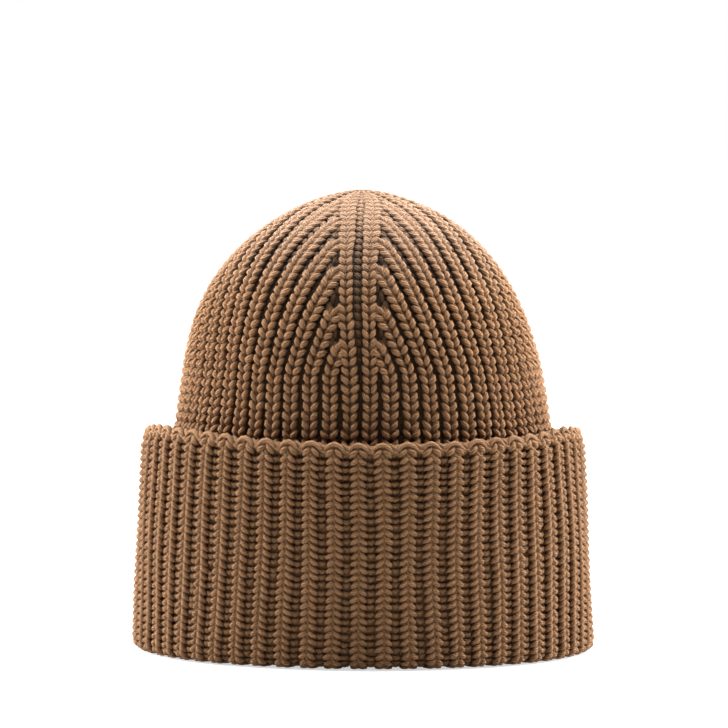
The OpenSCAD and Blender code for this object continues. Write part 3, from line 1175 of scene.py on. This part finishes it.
class BEANIE_OT_cast_on(bpy.types.Operator):
    """Lay the cast-on strand along the cuff's top edge"""

    bl_idname = "beanie.cast_on"
    bl_label = "Cast-on edge"

    def execute(self, context):
        knit = context.scene.beanie_knit
        wall = cuff_wall(knit)
        rng = np.random.default_rng(16)
        count = knit.wales
        pitch = TURN / count
        ribs = FRONT + np.arange(count) * pitch
        s = wall.length_at(EDGE_TOP - 2.0 * MM)
        over, under, link = self.loops()
        inner = bar(4.8, 0.4, 1.2, 2.4, 2.4, rings=6)
        piece = Knitting()
        proud = knit.cuff_proud
        # Painted highlight on the loops over the ribs, and painted shade on the strands under them and on
        # the core
        piece.lay(over, wall, s + rng.normal(0, 0.15 * MM, count), ribs, lean=rng.normal(0, 0.04, count),
                  wide=shares(rng, knit, count), tone=0.95 + rng.normal(0, 0.06, count), offset=proud)
        piece.lay(under, wall, s + rng.normal(0, 0.12 * MM, count), ribs, lean=rng.normal(0, 0.06, count),
                  tall=shares(rng, knit, count), tone=0.7 + rng.normal(0, 0.08, count), offset=proud)
        piece.lay(link, wall, s + rng.normal(0, 0.12 * MM, count), ribs, lean=rng.normal(0, 0.05, count),
                  tone=0.5 + rng.normal(0, 0.06, count), offset=proud - 0.5 * MM, bright=0.85)
        piece.lay(inner, wall, s + 1.2 * MM, ribs + pitch / 2, wide=shares(rng, knit, count),
                  tone=0.5 + rng.normal(0, 0.06, count), side=-1, offset=-knit.cloth)
        piece.add(self.core(knit), 0.45, 0.6)
        obj = piece.finish("cast_on_yarn", "camel_wool_cuff", free_edge=True)
        dress(obj, "cuff", "wool_cuff", "cast_on_edge")
        return {"FINISHED"}

    def loops(self):
        """The loop over a rib, the one that slants away beside it, and the strand below the two."""
        over = strand_mm(
            ((-4.4, 3.6, -1.6), (-4.0, 1.8, -0.4), (-3.0, 0.3, 0), (-1.3, -0.8, 0.1),
             (0.6, -0.8, 0.1), (2.3, 0.2, 0), (3.7, 1.8, -0.3), (4.9, 3.8, -1.3)),
            1.9, 2.2, rings=10, fat=0.1, blunt=0.4,
        )
        under = strand_mm(
            ((2.4, -1.0, -1.7), (3.8, -0.2, -1.1), (5.2, 0.8, -0.9), (6.5, 2.0, -1.1), (7.5, 3.3, -1.9)),
            1.7, 2.0, rings=8, fat=0.1, blunt=0.4,
        )
        link = strand_mm(((3.4, 2.0, -1.2), (4.6, 2.3, -0.3), (6.6, 3.0, -0.3), (8.2, 3.9, -1.6)), 1.7, 2.0)
        return over, under, link

    def core(self, knit):
        """The strand inside the edge, which rises a little at each rib."""
        radius, height = CUFF_TOP_R - knit.cloth * 0.6, EDGE_TOP - 3.6 * MM
        steps = 6 * knit.wales
        turns = [TURN * i / steps for i in range(steps)]
        rise = [0.25 * MM * math.cos(knit.wales * (a - FRONT)) for a in turns]
        way = [(radius * math.cos(a), radius * math.sin(a), height + up) for a, up in zip(turns, rise)]
        return yarn_tube(way, 1.9 * MM)


class BEANIE_OT_seams(bpy.types.Operator):
    """Sew the seam up the back of the crown, the band and the cuff"""

    bl_idname = "beanie.seams"
    bl_label = "Back seams"

    def execute(self, context):
        knit = context.scene.beanie_knit
        rng = np.random.default_rng(17)
        hat, cuff = hat_wall(knit), CuffKnitter(knit, 14)
        outside = bar(1.8, 0.3, 0.9, 1.3, 1.5)
        inside = bar(2.4, 1.0, 1.0, 1.5, 1.6)
        made = []
        crown_rows = np.arange(0.5, CROWN_ROWS - 2) * knit.crown_row
        band_rows = -np.arange(0.5, int(-hat.start / knit.crown_row)) * knit.crown_row
        for name, rows in (("crown_seam_yarn", crown_rows), ("band_seam_yarn", band_rows)):
            piece = Knitting()
            self.sew(piece, hat, outside, rows, knit, rng, 1, -0.9 * MM)
            self.sew(piece, hat, inside, rows, knit, rng, -1, -knit.cloth - 0.3 * MM)
            made.append(piece.finish(name, "linking_yarn"))
        piece = Knitting()
        rows = cuff.rows()
        rows = rows[cuff.wall.height(rows) > FOLD_TOP]
        self.sew(piece, cuff.wall, inside, rows, knit, rng, 1, knit.cuff_proud - 0.6 * MM)
        made.append(piece.finish("cuff_seam_yarn", "linking_yarn", free_edge=True))
        dress(made[0], "hat", "linking_yarn", "crown_seam")
        dress_stretching(made[1], "linking_yarn", "band_seam")
        dress(made[2], "cuff", "linking_yarn", "cuff_seam")
        return {"FINISHED"}

    def sew(self, piece, wall, shape, rows, knit, rng, side, offset):
        """Lays one strand of the seam at each row of the centre back."""
        count = len(rows)
        piece.lay(shape, wall, rows, BACK, lean=rng.normal(0, 0.08, count), wide=shares(rng, knit, count),
                  tone=0.5 + rng.normal(0, 0.1, count), side=side, offset=offset)


class BEANIE_OT_label(bpy.types.Operator):
    """Hang the blank care label inside the back of the band"""

    bl_idname = "beanie.label"
    bl_label = "Care label"

    def execute(self, context):
        width = LABEL_HIGH.x - LABEL_LOW.x
        length = LABEL_HIGH.z - LABEL_LOW.z
        bm = bmesh.new()
        bmesh.ops.create_grid(bm, x_segments=22, y_segments=32, size=1)
        depth = LABEL_HIGH.y - 0.1 * MM
        for v in bm.verts:
            x, up = v.co.x, (v.co.y + 1) / 2
            curl = (1 - up) ** 2
            hem = 0.15 * MM if abs(x) > 0.93 else 0
            ripple = 0.12 * MM * math.sin(3 * x + 5 * up) * curl
            y = depth - hem - 1.1 * MM * curl * (1 + 0.3 * x) - ripple
            v.co = (x * width / 2, y, LABEL_LOW.z + up * length)
        bmesh.ops.recalc_face_normals(bm, faces=bm.faces)
        bmesh.ops.solidify(bm, geom=bm.faces, thickness=0.45 * MM)
        obj = put_shape("care_label_cloth", bm, finish_named("label_tape"))
        dress(obj, "label", "label_tape", "care_label")
        return {"FINISHED"}


class BEANIE_OT_label_stitches(bpy.types.Operator):
    """Sew the label's turned top edge to the band"""

    bl_idname = "beanie.label_stitches"
    bl_label = "Label stitching"

    def execute(self, context):
        knit = context.scene.beanie_knit
        wall = hat_wall(knit)
        width, height = TAB_HIGH.x - TAB_LOW.x, TAB_HIGH.z - TAB_LOW.z
        middle = (TAB_LOW.z + TAB_HIGH.z) / 2
        s = wall.length_at(middle)
        radius = float(wall.radius(s)) - knit.cloth
        bm = bmesh.new()
        bmesh.ops.create_grid(bm, x_segments=18, y_segments=3, size=1)
        for v in bm.verts:
            x = v.co.x * width / 2
            v.co = (x, math.sqrt(radius**2 - x**2) - 0.35 * MM, middle + v.co.y * height / 2)
        bmesh.ops.recalc_face_normals(bm, faces=bm.faces)
        bmesh.ops.solidify(bm, geom=bm.faces, thickness=0.5 * MM)
        piece = Knitting()
        piece.add(bm, 0.5, 1.0)
        run = bar(0.95, 0, 0.2, 0.55, 0.6)
        count = 10
        spots = BACK + (np.arange(count) - (count - 1) / 2) * (width / count) / radius
        piece.lay(run, wall, s, spots, side=-1, offset=-knit.cloth - 0.9 * MM)
        dress(piece.finish("label_thread", "sewing_thread"), "hat", "sewing_thread", "label_stitching")
        return {"FINISHED"}


class BEANIE_OT_stage(bpy.types.Operator):
    """Set the floor, lamps and camera"""

    bl_idname = "beanie.stage"
    bl_label = "Stage"

    def execute(self, context):
        stage = context.scene.beanie_stage
        bm = bmesh.new()
        bmesh.ops.create_grid(bm, x_segments=1, y_segments=1, size=30)
        for v in bm.verts:
            v.co.z = -0.2 * MM
        put_shape("floor", bm, self.floor_material(stage), rounded=False)
        self.light_world(context.scene)
        self.put_lamp("lamp_top", (0, 0.2, 2.0), 1.4, stage.top_watts)
        self.put_lamp("lamp_left", (-1.3, 0.58, 0.47), 1.7, stage.side_watts)
        self.put_lamp("lamp_right", (1.3, 0.66, 0.58), 1.7, stage.side_watts)
        self.put_lamp("lamp_front", (0, -2.2, 0.35), 0.5, stage.front_watts)
        self.put_camera(context.scene, stage)
        context.scene.view_settings.view_transform = "Standard"
        return {"FINISHED"}

    def seen(self, tree):
        """1 where the eye looks straight at a thing, in a mirror or through glass, and 0 for its light."""
        paths = node(tree, "ShaderNodeLightPath").outputs
        direct = math_node(tree, "MAXIMUM", paths["Is Camera Ray"], paths["Is Glossy Ray"])
        return math_node(tree, "MAXIMUM", direct, paths["Is Transmission Ray"])

    def floor_material(self, stage):
        """Pale matt floor. A little of its own white lifts it to the backdrop's, and shadows stay."""
        made, tree, shader = new_material(
            "floor", Base_Color=rgba(stage.floor), Roughness=0.9, Specular_IOR_Level=0.1,
            Emission_Color=(1, 1, 1, 1),
        )
        far = node(tree, "ShaderNodeVectorMath", operation="LENGTH")
        tree.links.new(node(tree, "ShaderNodeTexCoord").outputs["Object"], far.inputs[0])
        fade = eased(tree, far.outputs["Value"], 0.10, 0.45, low=0.6)
        glow = math_node(tree, "MULTIPLY", self.seen(tree), fade)
        tree.links.new(glow, shader.inputs["Emission Strength"])
        return made

    def light_world(self, scene):
        """A white backdrop to the eye, and a dim even light from all round."""
        scene.world = scene.world or bpy.data.worlds.new("World")
        scene.world.use_nodes = True
        tree = scene.world.node_tree
        back = tree.nodes["Background"]
        back.inputs["Color"].default_value = (1, 1, 1, 1)
        dim = 0.01
        bright = math_node(tree, "MULTIPLY", self.seen(tree), 1 - dim)
        tree.links.new(math_node(tree, "ADD", bright, dim), back.inputs["Strength"])

    def put_lamp(self, name, place, size, watts):
        """A square soft lamp that points at the hat."""
        light = bpy.data.lights.new(name, "AREA")
        light.size = size
        light.energy = watts
        self.aim(put(name, light), place, (0, 0, 0.1))

    def put_camera(self, scene, stage):
        data = bpy.data.cameras.new("camera")
        data.lens = stage.lens
        data.sensor_width = 36
        data.clip_end = 100
        away, turn = stage.camera_away, stage.camera_turn
        scene.camera = put("camera", data)
        place = (away * math.sin(turn), -away * math.cos(turn), stage.camera_up)
        self.aim(scene.camera, place, (0, 0, stage.aim_z))
        scene.camera.rotation_euler.rotate_axis("Z", stage.camera_roll)

    def aim(self, obj, place, target):
        """Sets a lamp or camera at its place, looking at its target."""
        obj.location = place
        obj.rotation_euler = (Vector(target) - obj.location).to_track_quat("-Z", "Y").to_euler()


class BEANIE_PT_panel(bpy.types.Panel):
    """The steps of knitting the beanie"""

    bl_idname = "BEANIE_PT_panel"
    bl_label = "Beanie"
    bl_space_type = "VIEW_3D"
    bl_region_type = "UI"
    bl_category = "Beanie"

    def draw(self, context):
        for step in STEPS:
            self.layout.operator(step.bl_idname)


GROUPS = {"beanie_knit": BeanieKnit, "beanie_colours": BeanieColours, "beanie_stage": BeanieStage}
STEPS = (
    BEANIE_OT_crown,
    BEANIE_OT_gather,
    BEANIE_OT_band,
    BEANIE_OT_cuff,
    BEANIE_OT_fold,
    BEANIE_OT_cast_on,
    BEANIE_OT_seams,
    BEANIE_OT_label,
    BEANIE_OT_label_stitches,
    BEANIE_OT_stage,
)


def register():
    for cls in (*GROUPS.values(), *STEPS, BEANIE_PT_panel):
        bpy.utils.register_class(cls)
    for name, group in GROUPS.items():
        setattr(bpy.types.Scene, name, PointerProperty(type=group))


def unregister():
    for name in GROUPS:
        delattr(bpy.types.Scene, name)
    for cls in (BEANIE_PT_panel, *reversed(STEPS), *reversed(GROUPS.values())):
        bpy.utils.unregister_class(cls)


def main():
    """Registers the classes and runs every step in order."""
    register()
    for step in STEPS:
        group, name = step.bl_idname.split(".")
        getattr(getattr(bpy.ops, group), name)()


if __name__ == "__main__":
    main()
